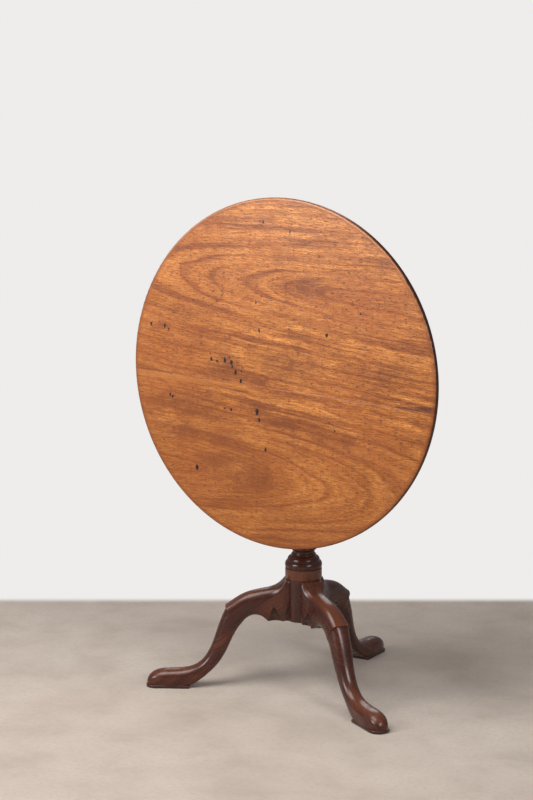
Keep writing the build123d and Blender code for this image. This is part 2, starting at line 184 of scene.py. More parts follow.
def place(piece, angle, location):
    """Turns a piece about the upright axis, moves it, and empties both into its mesh."""
    hold(piece)
    piece.rotation_euler = (0, 0, angle)
    piece.location = location
    bpy.ops.object.transform_apply(location=True, rotation=True, scale=True)
    return piece


print("Helpers are ready")

# %% [markdown]
# ## A cabriole leg
#
# The leg is one limb with an S-curve: it leaves the column almost level, rolls over the knee, drops
# down the shin and runs out to the foot. A joiner saws it from a plank and rounds it with a spokeshave.
# Here, rounded cross-sections are set along the limb and bridged, which gives full control of its
# outline from the side and of its width from the front.
#
# Each section is a square with its corners rounded off. It is then stretched between one point on the
# leg's upper outline and one point on its lower outline. Over the knee the upper corners are soft and
# the lower ones stay crisp, ready for carving.

# %% Where the leg's sections stand, in millimetres from the column's axis and the floor
SECTION_CORNER_STEPS = 4
SECTION_CORNERS = 4 * (SECTION_CORNER_STEPS + 1)
# upper point, lower point, half the width, rounding of the upper corners and of the lower corners
LEG_SECTIONS = [
    ((20, 271), (20, 171), 24.6, 0.12, 0.08),
    ((42, 271), (43, 171), 29.4, 0.16, 0.08),
    ((45, 269.6), (46, 171), 29.6, 0.22, 0.08),
    ((50, 264.5), (51, 171), 29.2, 0.34, 0.08),
    ((56, 258.6), (57, 171), 28.2, 0.46, 0.08),
    ((65, 253), (65, 171), 26.8, 0.58, 0.08),
    ((75, 249.3), (73.5, 170.4), 25.4, 0.66, 0.08),
    ((82, 247.6), (79, 169.6), 24.9, 0.7, 0.08),
    ((87, 246.6), (82.5, 169.2), 24.7, 0.72, 0.09),
    ((95, 245.2), (86.5, 172.6), 24.5, 0.74, 0.12),
    ((105, 243), (94, 179), 24.5, 0.76, 0.24),
    ((117, 240.2), (104, 182.8), 24.5, 0.78, 0.36),
    ((131, 236.4), (115.5, 183.8), 24.5, 0.78, 0.46),
    ((147, 229.6), (127, 180), 24.5, 0.76, 0.54),
    ((161, 220.6), (137, 172.5), 24.7, 0.72, 0.6),
    ((173, 211.9), (144.5, 163.5), 25.0, 0.68, 0.62),
    ((181.4, 205.9), (149, 157.5), 25.3, 0.62, 0.64),
    ((186, 202.6), (151, 155), 25.6, 0.58, 0.64),
    ((183.6, 199.4), (152, 153.5), 23.8, 0.7, 0.64),
    ((187.2, 192), (156.5, 147.5), 23.8, 0.76, 0.66),
    ((192.4, 181), (161, 140), 23.8, 0.8, 0.68),
    ((198, 167.5), (166, 130), 23.8, 0.82, 0.7),
    ((204.1, 151), (171.2, 119.5), 23.5, 0.84, 0.72),
    ((210.9, 130), (177, 106), 22.6, 0.86, 0.74),
    ((218.2, 108), (185, 88), 21.2, 0.88, 0.74),
    ((227.6, 87), (195.5, 70), 20.3, 0.9, 0.74),
    ((238.5, 70.5), (208, 53), 19.8, 0.9, 0.7),
    ((251, 58.5), (224, 37.5), 19.7, 0.9, 0.66),
    ((267, 50), (243, 22), 20.7, 0.88, 0.54),
    ((284, 46), (262, 9), 22.5, 0.86, 0.42),
    ((303, 44.3), (284, 2), 24.1, 0.86, 0.3),
    ((322, 44), (312, 1.5), 24.7, 0.86, 0.26),
    ((341, 42.8), (339, 1.5), 24.3, 0.88, 0.3),
    ((357, 38.2), (358, 1.5), 21.6, 0.9, 0.5),
    ((368.5, 29.5), (370.5, 2), 16.2, 0.92, 0.7),
    ((375, 20), (376.4, 4), 9.0, 0.94, 0.8),
]
LIP = 17
print("The leg has", len(LEG_SECTIONS), "sections of", SECTION_CORNERS, "corners each")


# %% Add one section to the leg that is open in edit mode
def select_sections(leg, first, last):
    low = first * SECTION_CORNERS
    high = (last + 1) * SECTION_CORNERS
    pick(leg, lambda corner: low <= corner.index < high)


def add_section(leg, number):
    upper, lower, half_width, upper_rounding, lower_rounding = LEG_SECTIONS[number]
    upper = Vector((upper[0], 0, upper[1])) * MM
    lower = Vector((lower[0], 0, lower[1])) * MM
    rise = upper - lower
    bpy.ops.mesh.primitive_plane_add(size=2, rotation=(0, radians(90), 0))
    bpy.ops.mesh.bevel(offset=upper_rounding, segments=SECTION_CORNER_STEPS, affect="VERTICES")
    bpy.ops.mesh.delete(type="ONLY_FACE")
    first = number * SECTION_CORNERS
    tighten = lower_rounding / upper_rounding
    for side in (-1, 1):
        pick(leg, lambda corner: corner.index >= first and side * corner.co.y > 0 > corner.co.z)
        bpy.ops.transform.resize(value=(1, tighten, tighten), center_override=(0, side, -1))
    select_sections(leg, number, number)
    bpy.ops.transform.resize(
        value=(1, half_width * MM, rise.length / 2), center_override=(0, 0, 0)
    )
    turn(atan2(rise.x, rise.z), "Y")
    bpy.ops.transform.translate(value=(upper + lower) / 2)


leg_pattern = empty_piece("leg_pattern")
for number in range(len(LEG_SECTIONS)):
    add_section(leg_pattern, number)
for number in range(len(LEG_SECTIONS) - 1):
    select_sections(leg_pattern, number, number + 1)
    bpy.ops.mesh.bridge_edge_loops()
for end in (0, len(LEG_SECTIONS) - 1):
    select_sections(leg_pattern, end, end)
    bpy.ops.mesh.edge_face_add()
print("The rough limb has", len(leg_pattern.data.vertices), "corners before it is closed")

# %% [markdown]
# The knee carries a raised panel that ends in a thin, curved lip. Two sections stand almost on top of
# each other there, the second one smaller, so that the surface steps down. A crease keeps the step
# sharp, and the middle of the lip is pulled forward and down, so that it curves like a petal's edge.

# %% Curve and sharpen the lip of the knee panel
LIP_BOW = 1.6 * MM
LIP_CREASE = 0.85
LIP_HALF_WIDTH = 11 * MM
LIP_LOWEST = 185 * MM
CREASE_LOWEST = 172 * MM


def on_lip_top(corner):
    number = corner.index // SECTION_CORNERS
    near_middle = abs(corner.co.y) < LIP_HALF_WIDTH and corner.co.z > LIP_LOWEST
    return number in (LIP - 1, LIP, LIP + 1) and near_middle


def on_lip_step(corner):
    return corner.index // SECTION_CORNERS in (LIP, LIP + 1) and corner.co.z > CREASE_LOWEST


pick(leg_pattern, on_lip_top)
bpy.ops.transform.translate(value=(LIP_BOW * 0.5, 0, -LIP_BOW * 0.85))
pick(leg_pattern, on_lip_step)
bpy.ops.transform.edge_crease(value=LIP_CREASE)
bpy.ops.mesh.select_all(action="SELECT")
bpy.ops.mesh.normals_make_consistent(inside=False)
close_piece()
add_modifier(leg_pattern, "SUBSURF", levels=2, render_levels=2)
print("The smooth limb has", len(leg_pattern.data.polygons), "faces")

# %% [markdown]
# The foot stands on a flat pad with a square heel and a round toe. A box gives the heel for free, and
# bevelling its two toe corners by nearly half its width turns the other end round.

# %% The pad under the foot
PAD_BACK = 272 * MM
PAD_FRONT = 377.6 * MM
PAD_HALF_WIDTH = 24.3 * MM
PAD_THICKNESS = 7 * MM
let_go()
bpy.ops.mesh.primitive_cube_add(
    size=1,
    location=((PAD_BACK + PAD_FRONT) / 2, 0, PAD_THICKNESS / 2),
    scale=(PAD_FRONT - PAD_BACK, 2 * PAD_HALF_WIDTH, PAD_THICKNESS),
)
pad = new_piece("pad")
open_piece(pad)
pick_edges(pad, lambda a, b: min(a.x, b.x) > PAD_FRONT - MM and abs(a.z - b.z) > MM)
bpy.ops.mesh.bevel(offset=PAD_HALF_WIDTH * 0.97, segments=16)
pick_edges(pad, lambda a, b: min(a.x, b.x) < PAD_BACK + MM and abs(a.z - b.z) > MM)
bpy.ops.mesh.bevel(offset=2 * MM, segments=3)
pick_edges(pad, lambda a, b: min(a.z, b.z) > PAD_THICKNESS - 0.1 * MM)
bpy.ops.mesh.bevel(offset=1.6 * MM, segments=3)
pick_edges(pad, lambda a, b: max(a.z, b.z) < 0.1 * MM)
bpy.ops.mesh.bevel(offset=0.8 * MM, segments=2)
close_piece()
add_modifier(leg_pattern, "BOOLEAN", operation="UNION", object=pad)
bpy.data.objects.remove(pad)
print("The foot stands on its pad:", len(leg_pattern.data.polygons), "faces")

# %% [markdown]
# Under the knee the joiner carved a row of hollow flutes. They are deepest at the bottom edge, die away
# upwards, and leave sharp ridges that end in little points. Each flute dips steeply on the side away
# from the column and rises gently towards it. A gouge leaves a cone-shaped hollow, so the cutter is a
# cone squeezed flat, turned a little, and with its tip pulled onto the leg's side.

# %% The gouge, and the flutes it cuts into both sides of a leg
FLUTE_FOOT_Z = 164 * MM
# middle and tip, as (reach, out, height), then half the span, half the depth and the turn
FLUTES = [
    ((64, 26.5), (71, 24.6, 212), 19.5, 9.5, 13),
    ((30, 30.0), (37, 27.6, 210), 17.5, 8.0, 20),
]


def add_gouge(flute, side):
    middle, tip, half_span, half_depth, turned = flute
    let_go()
    height = tip[2] * MM - FLUTE_FOOT_Z
    center = Vector((middle[0] * MM, side * middle[1] * MM, FLUTE_FOOT_Z + height / 2))
    bpy.ops.mesh.primitive_cone_add(vertices=72, radius1=MM, radius2=0, depth=height, location=center)
    gouge = new_piece("gouge")
    open_piece(gouge)
    bpy.ops.mesh.select_all(action="SELECT")
    bpy.ops.transform.resize(value=(half_span, half_depth, 1), center_override=center)
    turn(radians(-side * turned), "Z", center)
    pick(gouge, lambda corner: corner.co.z > FLUTE_FOOT_Z + height / 2)
    to_tip = Vector((tip[0] - middle[0], side * (tip[1] - middle[1]), 0)) * MM
    bpy.ops.transform.translate(value=to_tip)
    bpy.ops.mesh.select_all(action="SELECT")
    bpy.ops.mesh.normals_make_consistent(inside=False)
    close_piece()
    return gouge


gouges = [add_gouge(flute, side) for flute in FLUTES for side in (-1, 1)]
for gouge in gouges:
    add_modifier(leg_pattern, "BOOLEAN", operation="DIFFERENCE", object=gouge)
    bpy.data.objects.remove(gouge)
print("The carved leg has", len(leg_pattern.data.polygons), "faces")

# %% [markdown]
# Three copies of the pattern, each turned about the column's axis, make the tripod. Each copy keeps its
# place in its mesh, so its object stays at the origin like every CAD node.

# %% Stand the three legs round the column
LEG_TURNS = {"leg_left": 210, "leg_right": 330, "leg_back": 90}
SMOOTH_ANGLE = 32
smooth(leg_pattern, SMOOTH_ANGLE)
carved_legs = {}
for name, angle in LEG_TURNS.items():
    leg = copy_piece(leg_pattern, "carved_" + name)
    carved_legs[name] = place(leg, radians(angle), (0, axis_y, 0))
    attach(leg, "pedestal")
    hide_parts(name)
bpy.data.objects.remove(leg_pattern)
print("Legs:", ", ".join(piece.name for piece in carved_legs.values()))

# %% [markdown]
# ## The turned column
#
# A turner holds a chisel against spinning wood, so the whole column is one outline swept round an axis.
# The outline is drawn by extruding a single corner from point to point. Rounds and hollows are bows
# between two points, and two points close together keep a quirk crisp.


# %% Draw an outline from straight runs and bows, then spin it
def bow(start, end, rise, steps=8):
    """Points after start, up to end, on an arc that stands out to the right by rise at its middle."""
    start, end = Vector(start), Vector(end)
    chord = end - start
    outward = Vector((chord.y, -chord.x)).normalized()
    half = chord.length / 2
    radius = (half**2 + rise**2) / (2 * rise)
    center = start + chord / 2 + outward * (rise - radius)
    first = start - center
    sweep = first.angle_signed(end - center)
    return [center + Matrix.Rotation(-sweep * i / steps, 2) @ first for i in range(1, steps + 1)]


def turned_piece(name, outline, steps):
    piece = empty_piece(name)
    bpy.ops.mesh.primitive_plane_add(size=2)
    bpy.ops.mesh.merge(type="CENTER")
    here = Vector(outline[0]) * MM
    bpy.ops.transform.translate(value=(here.x, 0, here.y))
    for point in outline[1:]:
        step = Vector(point) * MM - here
        bpy.ops.mesh.extrude_region_move(TRANSFORM_OT_translate={"value": (step.x, 0, step.y)})
        here = Vector(point) * MM
    bpy.ops.mesh.select_all(action="SELECT")
    bpy.ops.mesh.spin(steps=steps, angle=2 * pi, center=(0, 0, 0), axis=(0, 0, 1))
    bpy.ops.mesh.select_all(action="SELECT")
    bpy.ops.mesh.remove_doubles(threshold=TOUCHING)
    bpy.ops.mesh.normals_make_consistent(inside=False)
    close_piece()
    return piece


COLUMN_OUTLINE = [
    (0, 171), (41.0, 171), (41.5, 172), (41.5, 272.6), (43.0, 273.0), (43.6, 274.0),
    (43.6, 296.8), (43.0, 297.6), (41.6, 297.9), (41.6, 299.3), (42.6, 299.7),
    *bow((42.6, 299.7), (42.6, 312.2), 1.5),
    *bow((42.6, 312.2), (39.4, 315.2), 0.5, 3),
    (38.6, 315.9), (38.5, 317.2),
    *bow((38.5, 317.2), (31.2, 327.6), 1.9),
    (30.4, 328.3), (28.2, 328.6),
    *bow((28.2, 328.6), (27.4, 333.4), 1.4, 5),
    (26.6, 334.0),
    *bow((26.6, 334.0), (27.0, 340.0), -0.8, 4),
    *bow((27.0, 340.0), (31.0, 344.2), -0.6, 4),
    *bow((31.0, 344.2), (29.8, 350.6), 1.2, 5),
    (28.0, 351.2), (27.6, 352.4),
    *bow((27.6, 352.4), (35.0, 368.0), -1.0, 5),
    *bow((35.0, 368.0), (36.2, 410.0), 4.6, 12),
    *bow((36.2, 410.0), (24.8, 440.0), -1.6, 8),
    (24.6, 443.0), (26.6, 443.8),
    *bow((26.6, 443.8), (26.6, 452.4), 3.6, 8),
    (25.8, 453.2), (25.8, 454.6), (28.0, 455.4), (28.2, 457.0),
    *bow((28.2, 457.0), (23.4, 627.0), 2.2, 14),
    (23.4, 628.6), (24.4, 629.2),
    *bow((24.4, 629.2), (24.4, 636.2), 2.8, 7),
    (23.4, 636.9),
    *bow((23.4, 636.9), (25.2, 648.6), -0.8, 5),
    (26.2, 649.6),
    *bow((26.2, 649.6), (36.0, 663.4), -2.6, 8),
    (37.2, 664.2), (37.6, 665.2), (37.6, 675.0), (37.0, 675.9),
    (20.0, 675.9), (20.0, 707.5), (19.4, 708.0), (0, 708.0),
]
turned_column = turned_piece("turned_column", COLUMN_OUTLINE, 96)
print("The column has", len(turned_column.data.polygons), "faces")

# %% Stand the column among the legs
smooth(turned_column, SMOOTH_ANGLE)
place(turned_column, 0, (0, axis_y, 0))
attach(turned_column, "pedestal")
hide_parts("column")
print("The column stands on the axis")

# %% [markdown]
# ## Building finishes from nodes
#
# A finish is a small program made of nodes. Writing every node out by hand is slow, so small helpers
# add a node, do one sum, fade one value into another and wash one colour over another. Each effect that
# several finishes need, such as grain or edge wear, becomes a node group that is built once.


# %% Helpers for shader nodes
def feed(tree, socket, value):
    """Links a socket's value, or sets a plain one."""
    if isinstance(value, bpy.types.NodeSocket):
        tree.links.new(value, socket)
    else:
        socket.default_value = value


def add_node(tree, kind, inputs=None, **settings):
    """Adds a node. Inputs are given by name or number, as a value or as a socket to link."""
    made = tree.nodes.new("ShaderNode" + kind)
    for name, value in settings.items():
        setattr(made, name, value)
    for key, value in (inputs or {}).items():
        feed(tree, made.inputs[key], value)
    return made


def sum_of(tree, operation, *values):
    return add_node(tree, "Math", dict(enumerate(values)), operation=operation).outputs[0]


def times(tree, first, second):
    return sum_of(tree, "MULTIPLY", first, second)


def vector_of(tree, operation, *values):
    """One vector sum. Its vector is output 0, and its length or distance is output "Value"."""
    return add_node(tree, "VectorMath", dict(enumerate(values)), operation=operation).outputs


def fade(tree, value, low, high, to_low=0.0, to_high=1.0):
    """Maps low..high smoothly onto to_low..to_high."""
    inputs = {"Value": value, "From Min": low, "From Max": high, "To Min": to_low, "To Max": to_high}
    made = add_node(tree, "MapRange", inputs, interpolation_type="SMOOTHSTEP")
    return made.outputs["Result"]


def between(tree, value, low, high, soft):
    """One between low and high, fading to nothing outside."""
    rise = fade(tree, value, low - soft, low)
    fall = fade(tree, value, high, high + soft, 1.0, 0.0)
    return times(tree, rise, fall)


def noise(tree, vector, scale, detail=3.0, roughness=0.55, distortion=0.0):
    inputs = {"Vector": vector, "Scale": scale, "Detail": detail, "Roughness": roughness,
              "Distortion": distortion}
    return add_node(tree, "TexNoise", inputs).outputs["Fac"]


def blend(tree, amount, first, second, mode="MIX"):
    """Mixes two colours."""
    made = add_node(tree, "Mix", data_type="RGBA", blend_type=mode)
    for key, value in ((0, amount), (6, first), (7, second)):
        feed(tree, made.inputs[key], value)
    return made.outputs[2]


def wash(tree, colour, mask, strength, over):
    """Lays one colour over another where a mask says, at most at the given strength."""
    return blend(tree, fade(tree, mask, 0, 1, 0.0, strength), colour, over)


def rgb(red, green, blue):
    return (red, green, blue, 1.0)


def ramp(tree, value, stops):
    """Turns a value into a colour along a list of (place, colour) stops."""
    made = add_node(tree, "ValToRGB", {"Fac": value})
    elements = made.color_ramp.elements
    while len(elements) < len(stops):
        elements.new(0.5)
    for element, (position, colour) in zip(elements, stops):
        element.position = position
        element.color = colour
    return made.outputs["Color"]


def new_group(name, settings, outputs):
    """An empty group that reads a place and some numbers. Returns its tree, its inputs and its exit."""
    tree = bpy.data.node_groups.new(name, "ShaderNodeTree")
    tree.interface.new_socket("Place", in_out="INPUT", socket_type="NodeSocketVector")
    for socket_name, default in settings.items():
        socket = tree.interface.new_socket(socket_name, in_out="INPUT", socket_type="NodeSocketFloat")
        socket.default_value = default
    for socket_name in outputs:
        tree.interface.new_socket(socket_name, in_out="OUTPUT", socket_type="NodeSocketFloat")
    entry = tree.nodes.new("NodeGroupInput")
    leave = tree.nodes.new("NodeGroupOutput")
    return tree, entry.outputs, leave.inputs


def use_group(tree, group, inputs):
    made = tree.nodes.new("ShaderNodeGroup")
    made.node_tree = group
    for name, value in inputs.items():
        feed(tree, made.inputs[name], value)
    return made.outputs


def new_finish(name, coat, coat_roughness, metallic=0.0, specular=0.5):
    """A material with its shader. Returns the material, its tree, its shader and Object coordinates."""
    finish = bpy.data.materials.new(name)
    finish.use_nodes = True
    tree = finish.node_tree
    shader = tree.nodes["Principled BSDF"]
    shader.inputs["Coat Weight"].default_value = coat
    shader.inputs["Coat Roughness"].default_value = coat_roughness
    shader.inputs["Metallic"].default_value = metallic
    shader.inputs["Specular IOR Level"].default_value = specular
    place_node = add_node(tree, "TexCoord")
    return finish, tree, shader, place_node.outputs["Object"]


def in_wood(tree, position, location, rotation):
    """Object coordinates as seen from inside a plank: X along the grain, Z across the board."""
    inputs = {"Vector": position, "Location": location, "Rotation": rotation}
    return add_node(tree, "Mapping", inputs, vector_type="TEXTURE").outputs["Vector"]


def set_bump(tree, shader, height, strength, distance):
    bump = add_node(tree, "Bump", {"Height": height, "Strength": strength, "Distance": distance})
    tree.links.new(bump.outputs["Normal"], shader.inputs["Normal"])


def dress(piece, finish):
    """Gives a piece one finish all over."""
    piece.data.materials.clear()
    piece.data.materials.append(finish)


print("Node helpers are ready")

# %% [markdown]
# ### Mahogany grain
#
# A board is a slice through the year rings of a trunk. Where the slice just grazes a ring, the ring
# shows as a tall arch, the figure that makes a flat-sawn board so lively. The group works out how far
# each point is from the trunk's heart: the distance across the board, joined with a depth that shrinks
# along it, gives nested arches that open one way. Noise read along that distance gives bands of uneven
# width, as real years have. The fibres and the short dark pores run up the trunk, so they cross the
# arches and keep to the length of the board.

# %% Node group: rings, fibres and pores
grain_group, given, gives = new_group(
    "mahogany_grain",
    {"Arch": 0.15, "Taper": 0.04, "Heart Offset": 0.0, "Wander": 0.004, "Bands": 100.0},
    ["Rings", "Fibres", "Pores", "Ribbon"],
)
tree = grain_group
parts = add_node(tree, "SeparateXYZ", {0: given["Place"]}).outputs


def sway_of(tree, stretch):
    """Noise about zero, read on a stretched place."""
    stretched = vector_of(tree, "MULTIPLY", given["Place"], stretch)[0]
    return sum_of(tree, "SUBTRACT", noise(tree, stretched, 1.0, 3.0, 0.55), 0.5)


sway = sum_of(tree, "MULTIPLY_ADD", sway_of(tree, (2.4, 5.0, 8.0)), 5.0, sway_of(tree, (12, 30, 42)))
depth = sum_of(tree, "SMOOTH_MAX", times(tree, parts["X"], given["Arch"]), 0.0, 0.012)
across = sum_of(tree, "ADD", parts["Z"], given["Heart Offset"])
squares = sum_of(tree, "MULTIPLY_ADD", across, across, times(tree, depth, depth))
from_heart = sum_of(tree, "SQRT", squares)
tapered = sum_of(tree, "MULTIPLY_ADD", parts["X"], given["Taper"], from_heart)
through = sum_of(tree, "MULTIPLY_ADD", parts["Y"], 0.5, tapered)
distance = sum_of(tree, "MULTIPLY_ADD", sway, given["Wander"], through)


def along_wood(tree, across, along_scale, across_scale):
    """A place that runs slowly along the wood and fast across it."""
    made = add_node(tree, "CombineXYZ", {
        "X": times(tree, parts["X"], along_scale),
        "Y": times(tree, parts["Y"], across_scale * 0.5),
        "Z": times(tree, across, across_scale),
    })
    return made.outputs["Vector"]


FIBRE_SWAY = 0.0022
straight = sum_of(tree, "MULTIPLY_ADD", sway, FIBRE_SWAY, parts["Z"])
banded = add_node(tree, "CombineXYZ", {
    "X": times(tree, parts["X"], 2.0),
    "Z": times(tree, distance, given["Bands"]),
})
ring_noise = noise(tree, banded.outputs["Vector"], 1.0, 4.0, 0.6)
tree.links.new(fade(tree, ring_noise, 0.34, 0.66), gives["Rings"])
coarse = noise(tree, along_wood(tree, straight, 30.0, 330.0), 1.0, 2.0, 0.5)
fine = noise(tree, along_wood(tree, straight, 42.0, 1100.0), 1.0, 3.0, 0.6)
tree.links.new(
    fade(tree, sum_of(tree, "MULTIPLY_ADD", fine, 1.3, coarse), 0.9, 1.4), gives["Fibres"]
)
long_place = along_wood(tree, straight, 75.0, 480.0)
long_pores = fade(tree, noise(tree, long_place, 1.0, 1.0, 0.5), 0.57, 0.68)
short_place = along_wood(tree, straight, 140.0, 1200.0)
short_pores = fade(tree, noise(tree, short_place, 1.0, 1.0, 0.5), 0.57, 0.67)
tree.links.new(sum_of(tree, "MAXIMUM", long_pores, short_pores), gives["Pores"])
ribbon = noise(tree, along_wood(tree, distance, 6.0, 32.0), 1.0, 3.0, 0.5)
tree.links.new(fade(tree, ribbon, 0.32, 0.68), gives["Ribbon"])
print("Group", grain_group.name, "is built")

# %% [markdown]
# ### Dirt, wax, wear and painted shade
#
# Two hundred years of hands, dusters and spills leave their marks. Wax and dirt lie in soft patches.
# Corners are rubbed pale, and hollows are darkened with dirt and with painted shade. The second group
# finds corners and hollows from how sharply the surface bends, and breaks the marks up with noise so
# that they never look even.

# %% Node group: patches of old wax and dirt
patch_group, given, gives = new_group("old_patches", {"Size": 9.0}, ["Patches", "Specks", "Smears"])
tree = patch_group
tree.links.new(
    fade(tree, noise(tree, given["Place"], given["Size"], 4.0, 0.6, 0.4), 0.36, 0.68),
    gives["Patches"],
)
speck_noise = noise(tree, given["Place"], times(tree, given["Size"], 26.0), 2.0, 0.5)
tree.links.new(fade(tree, speck_noise, 0.66, 0.74), gives["Specks"])
smear_place = vector_of(tree, "MULTIPLY", given["Place"], (1.0, 1.0, 3.2))[0]
smear_noise = noise(tree, smear_place, times(tree, given["Size"], 1.6), 5.0, 0.65, 1.4)
tree.links.new(fade(tree, smear_noise, 0.45, 0.7), gives["Smears"])
print("Group", patch_group.name, "is built")

# %% Node group: rubbed corners, and hollows darkened by dirt and painted shade
wear_and_shade_group, given, gives = new_group("corner_wear_and_shade", {"Reach": 0.02}, ["Corners", "Hollow Dirt And Shade"])
tree = wear_and_shade_group
bend = add_node(tree, "NewGeometry").outputs["Pointiness"]
ragged = sum_of(tree, "SUBTRACT", noise(tree, given["Place"], 60.0, 3.0, 0.6), 0.5)
rough_bend = sum_of(tree, "MULTIPLY_ADD", ragged, 0.02, bend)
corner_end = sum_of(tree, "ADD", given["Reach"], 0.51)
tree.links.new(fade(tree, rough_bend, 0.51, corner_end), gives["Corners"])
hollow_end = sum_of(tree, "SUBTRACT", 0.49, given["Reach"])
tree.links.new(fade(tree, rough_bend, 0.492, hollow_end), gives["Hollow Dirt And Shade"])
print("Group", wear_and_shade_group.name, "is built")

# %% [markdown]
# ### The polished top
#
# The top is the table's show face: golden-brown mahogany, waxed for generations, spotted with ink and
# rubbed pale along its edge. The two boards come from different trunks, so each gets its own arches:
# the wide one opens to the right, the narrow one closes in a tongue. One function builds both finishes.
#
# The back of the same boards never saw polish. It is dry, grey-brown and rough, and the finish finds it
# by its depth behind the polished face.

# %% Ink spots, listed as (x, height, radius) in millimetres
INK_SPOTS = [
    (-356, 868, 3.6), (-317, 866, 4.2), (-306, 858, 2.6), (-61, 937, 2.8), (-52, 873, 3.4),
    (-185, 797, 3.8), (-169, 793, 3.2), (-147, 797, 4.8), (-129, 793, 4.6), (-127, 783, 3.2),
    (-117, 771, 4.6), (-103, 752, 4.0), (-303, 702, 3.6), (-296, 698, 3.0), (-148, 683, 2.2),
    (-130, 683, 3.2), (-58, 683, 6.0), (-52, 664, 4.2), (-35, 596, 4.0), (128, 876, 4.2),
    (-227, 534, 5.4), (30, 1103, 2.6), (-41, 1122, 3.0), (-101, 775, 2.2), (-92, 806, 2.0),
    (-133, 806, 1.8), (-188, 810, 2.0), (215, 930, 2.4), (150, 660, 2.2),
]
INK_TALLER = 0.62
print("There are", len(INK_SPOTS), "ink spots to place")

# %% [markdown]
# A spot is a round distance from its middle, cut off where the ink ends. Shifting the place by a little
# noise first makes every rim ragged, and squeezing the height makes the drops taller than wide.

# %% Node group: the spots
ink_group, given, gives = new_group("ink_spots", {}, ["Ink"])
tree = ink_group
raggedness = add_node(
    tree, "TexNoise", {"Vector": given["Place"], "Scale": 170.0, "Detail": 2.0, "Roughness": 0.6}
)
ragged_shift = vector_of(tree, "SUBTRACT", raggedness.outputs["Color"], (0.5, 0.5, 0.5))[0]
ragged_place = vector_of(tree, "MULTIPLY_ADD", ragged_shift, (0.006, 0.0, 0.009), given["Place"])[0]
flat_place = vector_of(tree, "MULTIPLY", ragged_place, (1.0, 0.0, INK_TALLER))[0]
nearest = 1.0
for x, height, radius in INK_SPOTS:
    spot = (x * MM, 0.0, height * MM * INK_TALLER)
    gap = vector_of(tree, "DISTANCE", flat_place, spot)["Value"]
    from_rim = sum_of(tree, "DIVIDE", gap, radius * MM)
    nearest = sum_of(tree, "MINIMUM", from_rim, nearest)
tree.links.new(fade(tree, nearest, 0.98, 0.55), gives["Ink"])
print("Group", ink_group.name, "holds", len(INK_SPOTS), "spots")

# %% [markdown]
# Smudges are long soft patches that lie along the grain, where hands and cloths have been, and a cup has
# left one faint ring. The noise that blurs the smudges shifts every place to the right and up, by half
# its reach on average, so their middles are moved by as much. The glue line slopes a little across the
# face, so the group also gives how far over it and along it a point is.

# %% Old smudges as (x, height, half length, half height) in millimetres, and the glue line
SMUDGES = [
    (-290, 690, 85, 26), (-225, 668, 80, 20), (-150, 612, 70, 26), (-260, 618, 60, 24),
    (-105, 520, 85, 24), (25, 806, 95, 26), (-40, 762, 80, 16), (40, 664, 90, 14),
    (-60, 690, 46, 16), (150, 640, 60, 18), (-140, 783, 60, 30), (70, 985, 55, 22),
    (-330, 862, 34, 12), (-180, 560, 60, 18), (240, 800, 90, 20), (-255, 900, 70, 16),
]
BLUR_REACH = Vector((0.09, 0.0, 0.05))
CUP_RING = (80, 640, 48)
JOINT_HEIGHT = top_middle.z - 32.5 * MM
JOINT_TURN = radians(2.5)

smudge_group, given, gives = new_group(
    "smudges_and_joint", {}, ["Smudges", "Cup Ring", "Over Joint", "Along Joint"]
)
tree = smudge_group
blur = add_node(
    tree, "TexNoise", {"Vector": given["Place"], "Scale": 16.0, "Detail": 4.0, "Roughness": 0.65}
)
blurred = vector_of(tree, "MULTIPLY_ADD", blur.outputs["Color"], BLUR_REACH, given["Place"])[0]
darkest = 0.0
for x, height, half_length, half_height in SMUDGES:
    center = Vector((x * MM, face_y, height * MM)) + BLUR_REACH / 2
    gap = vector_of(tree, "SUBTRACT", blurred, center)[0]
    spread = (1 / (half_length * MM), 0.0, 1 / (half_height * MM))
    shrunk = vector_of(tree, "MULTIPLY", gap, spread)[0]
    away = vector_of(tree, "LENGTH", shrunk)["Value"]
    darkest = sum_of(tree, "MAXIMUM", fade(tree, away, 0.2, 1.5, 1.0, 0.0), darkest)
tree.links.new(darkest, gives["Smudges"])
ring_x, ring_height, ring_radius = CUP_RING
flat = vector_of(tree, "MULTIPLY", given["Place"], (1, 0, 1))[0]
ring_middle = (ring_x * MM, 0.0, ring_height * MM)
to_ring = vector_of(tree, "DISTANCE", flat, ring_middle)["Value"]
off_ring = sum_of(tree, "ABSOLUTE", sum_of(tree, "SUBTRACT", to_ring, ring_radius * MM))
worn = fade(tree, noise(tree, given["Place"], 22.0, 3.0, 0.6), 0.38, 0.62)
tree.links.new(
    times(tree, fade(tree, off_ring, 0.0, 5 * MM, 1.0, 0.0), worn), gives["Cup Ring"]
)
joint_place = add_node(
    tree, "Mapping",
    {"Vector": given["Place"], "Location": (0, 0, JOINT_HEIGHT), "Rotation": (0, JOINT_TURN, 0)},
    vector_type="TEXTURE",
)
joint_parts = add_node(tree, "SeparateXYZ", {0: joint_place.outputs["Vector"]}).outputs
tree.links.new(joint_parts["Z"], gives["Over Joint"])
tree.links.new(joint_parts["X"], gives["Along Joint"])
print("Group", smudge_group.name, "holds", len(SMUDGES), "smudges")

# %% [markdown]
# A board's colour is laid up in layers, each one over the last: the wood's own bands, ribbon and fibres,
# then the stains, the cup ring and the pores, then the glue line, the ink and the worn edge. Most layers
# are short functions that take the colour so far and give it back changed.

# %% The wood of a board, and the marks on it
LIGHT_WOOD = rgb(0.64, 0.25, 0.060)
MIDDLE_WOOD = rgb(0.48, 0.162, 0.033)
DARK_WOOD = rgb(0.23, 0.060, 0.012)
DRY_LIGHT = rgb(0.30, 0.155, 0.080)
DRY_DARK = rgb(0.15, 0.070, 0.034)


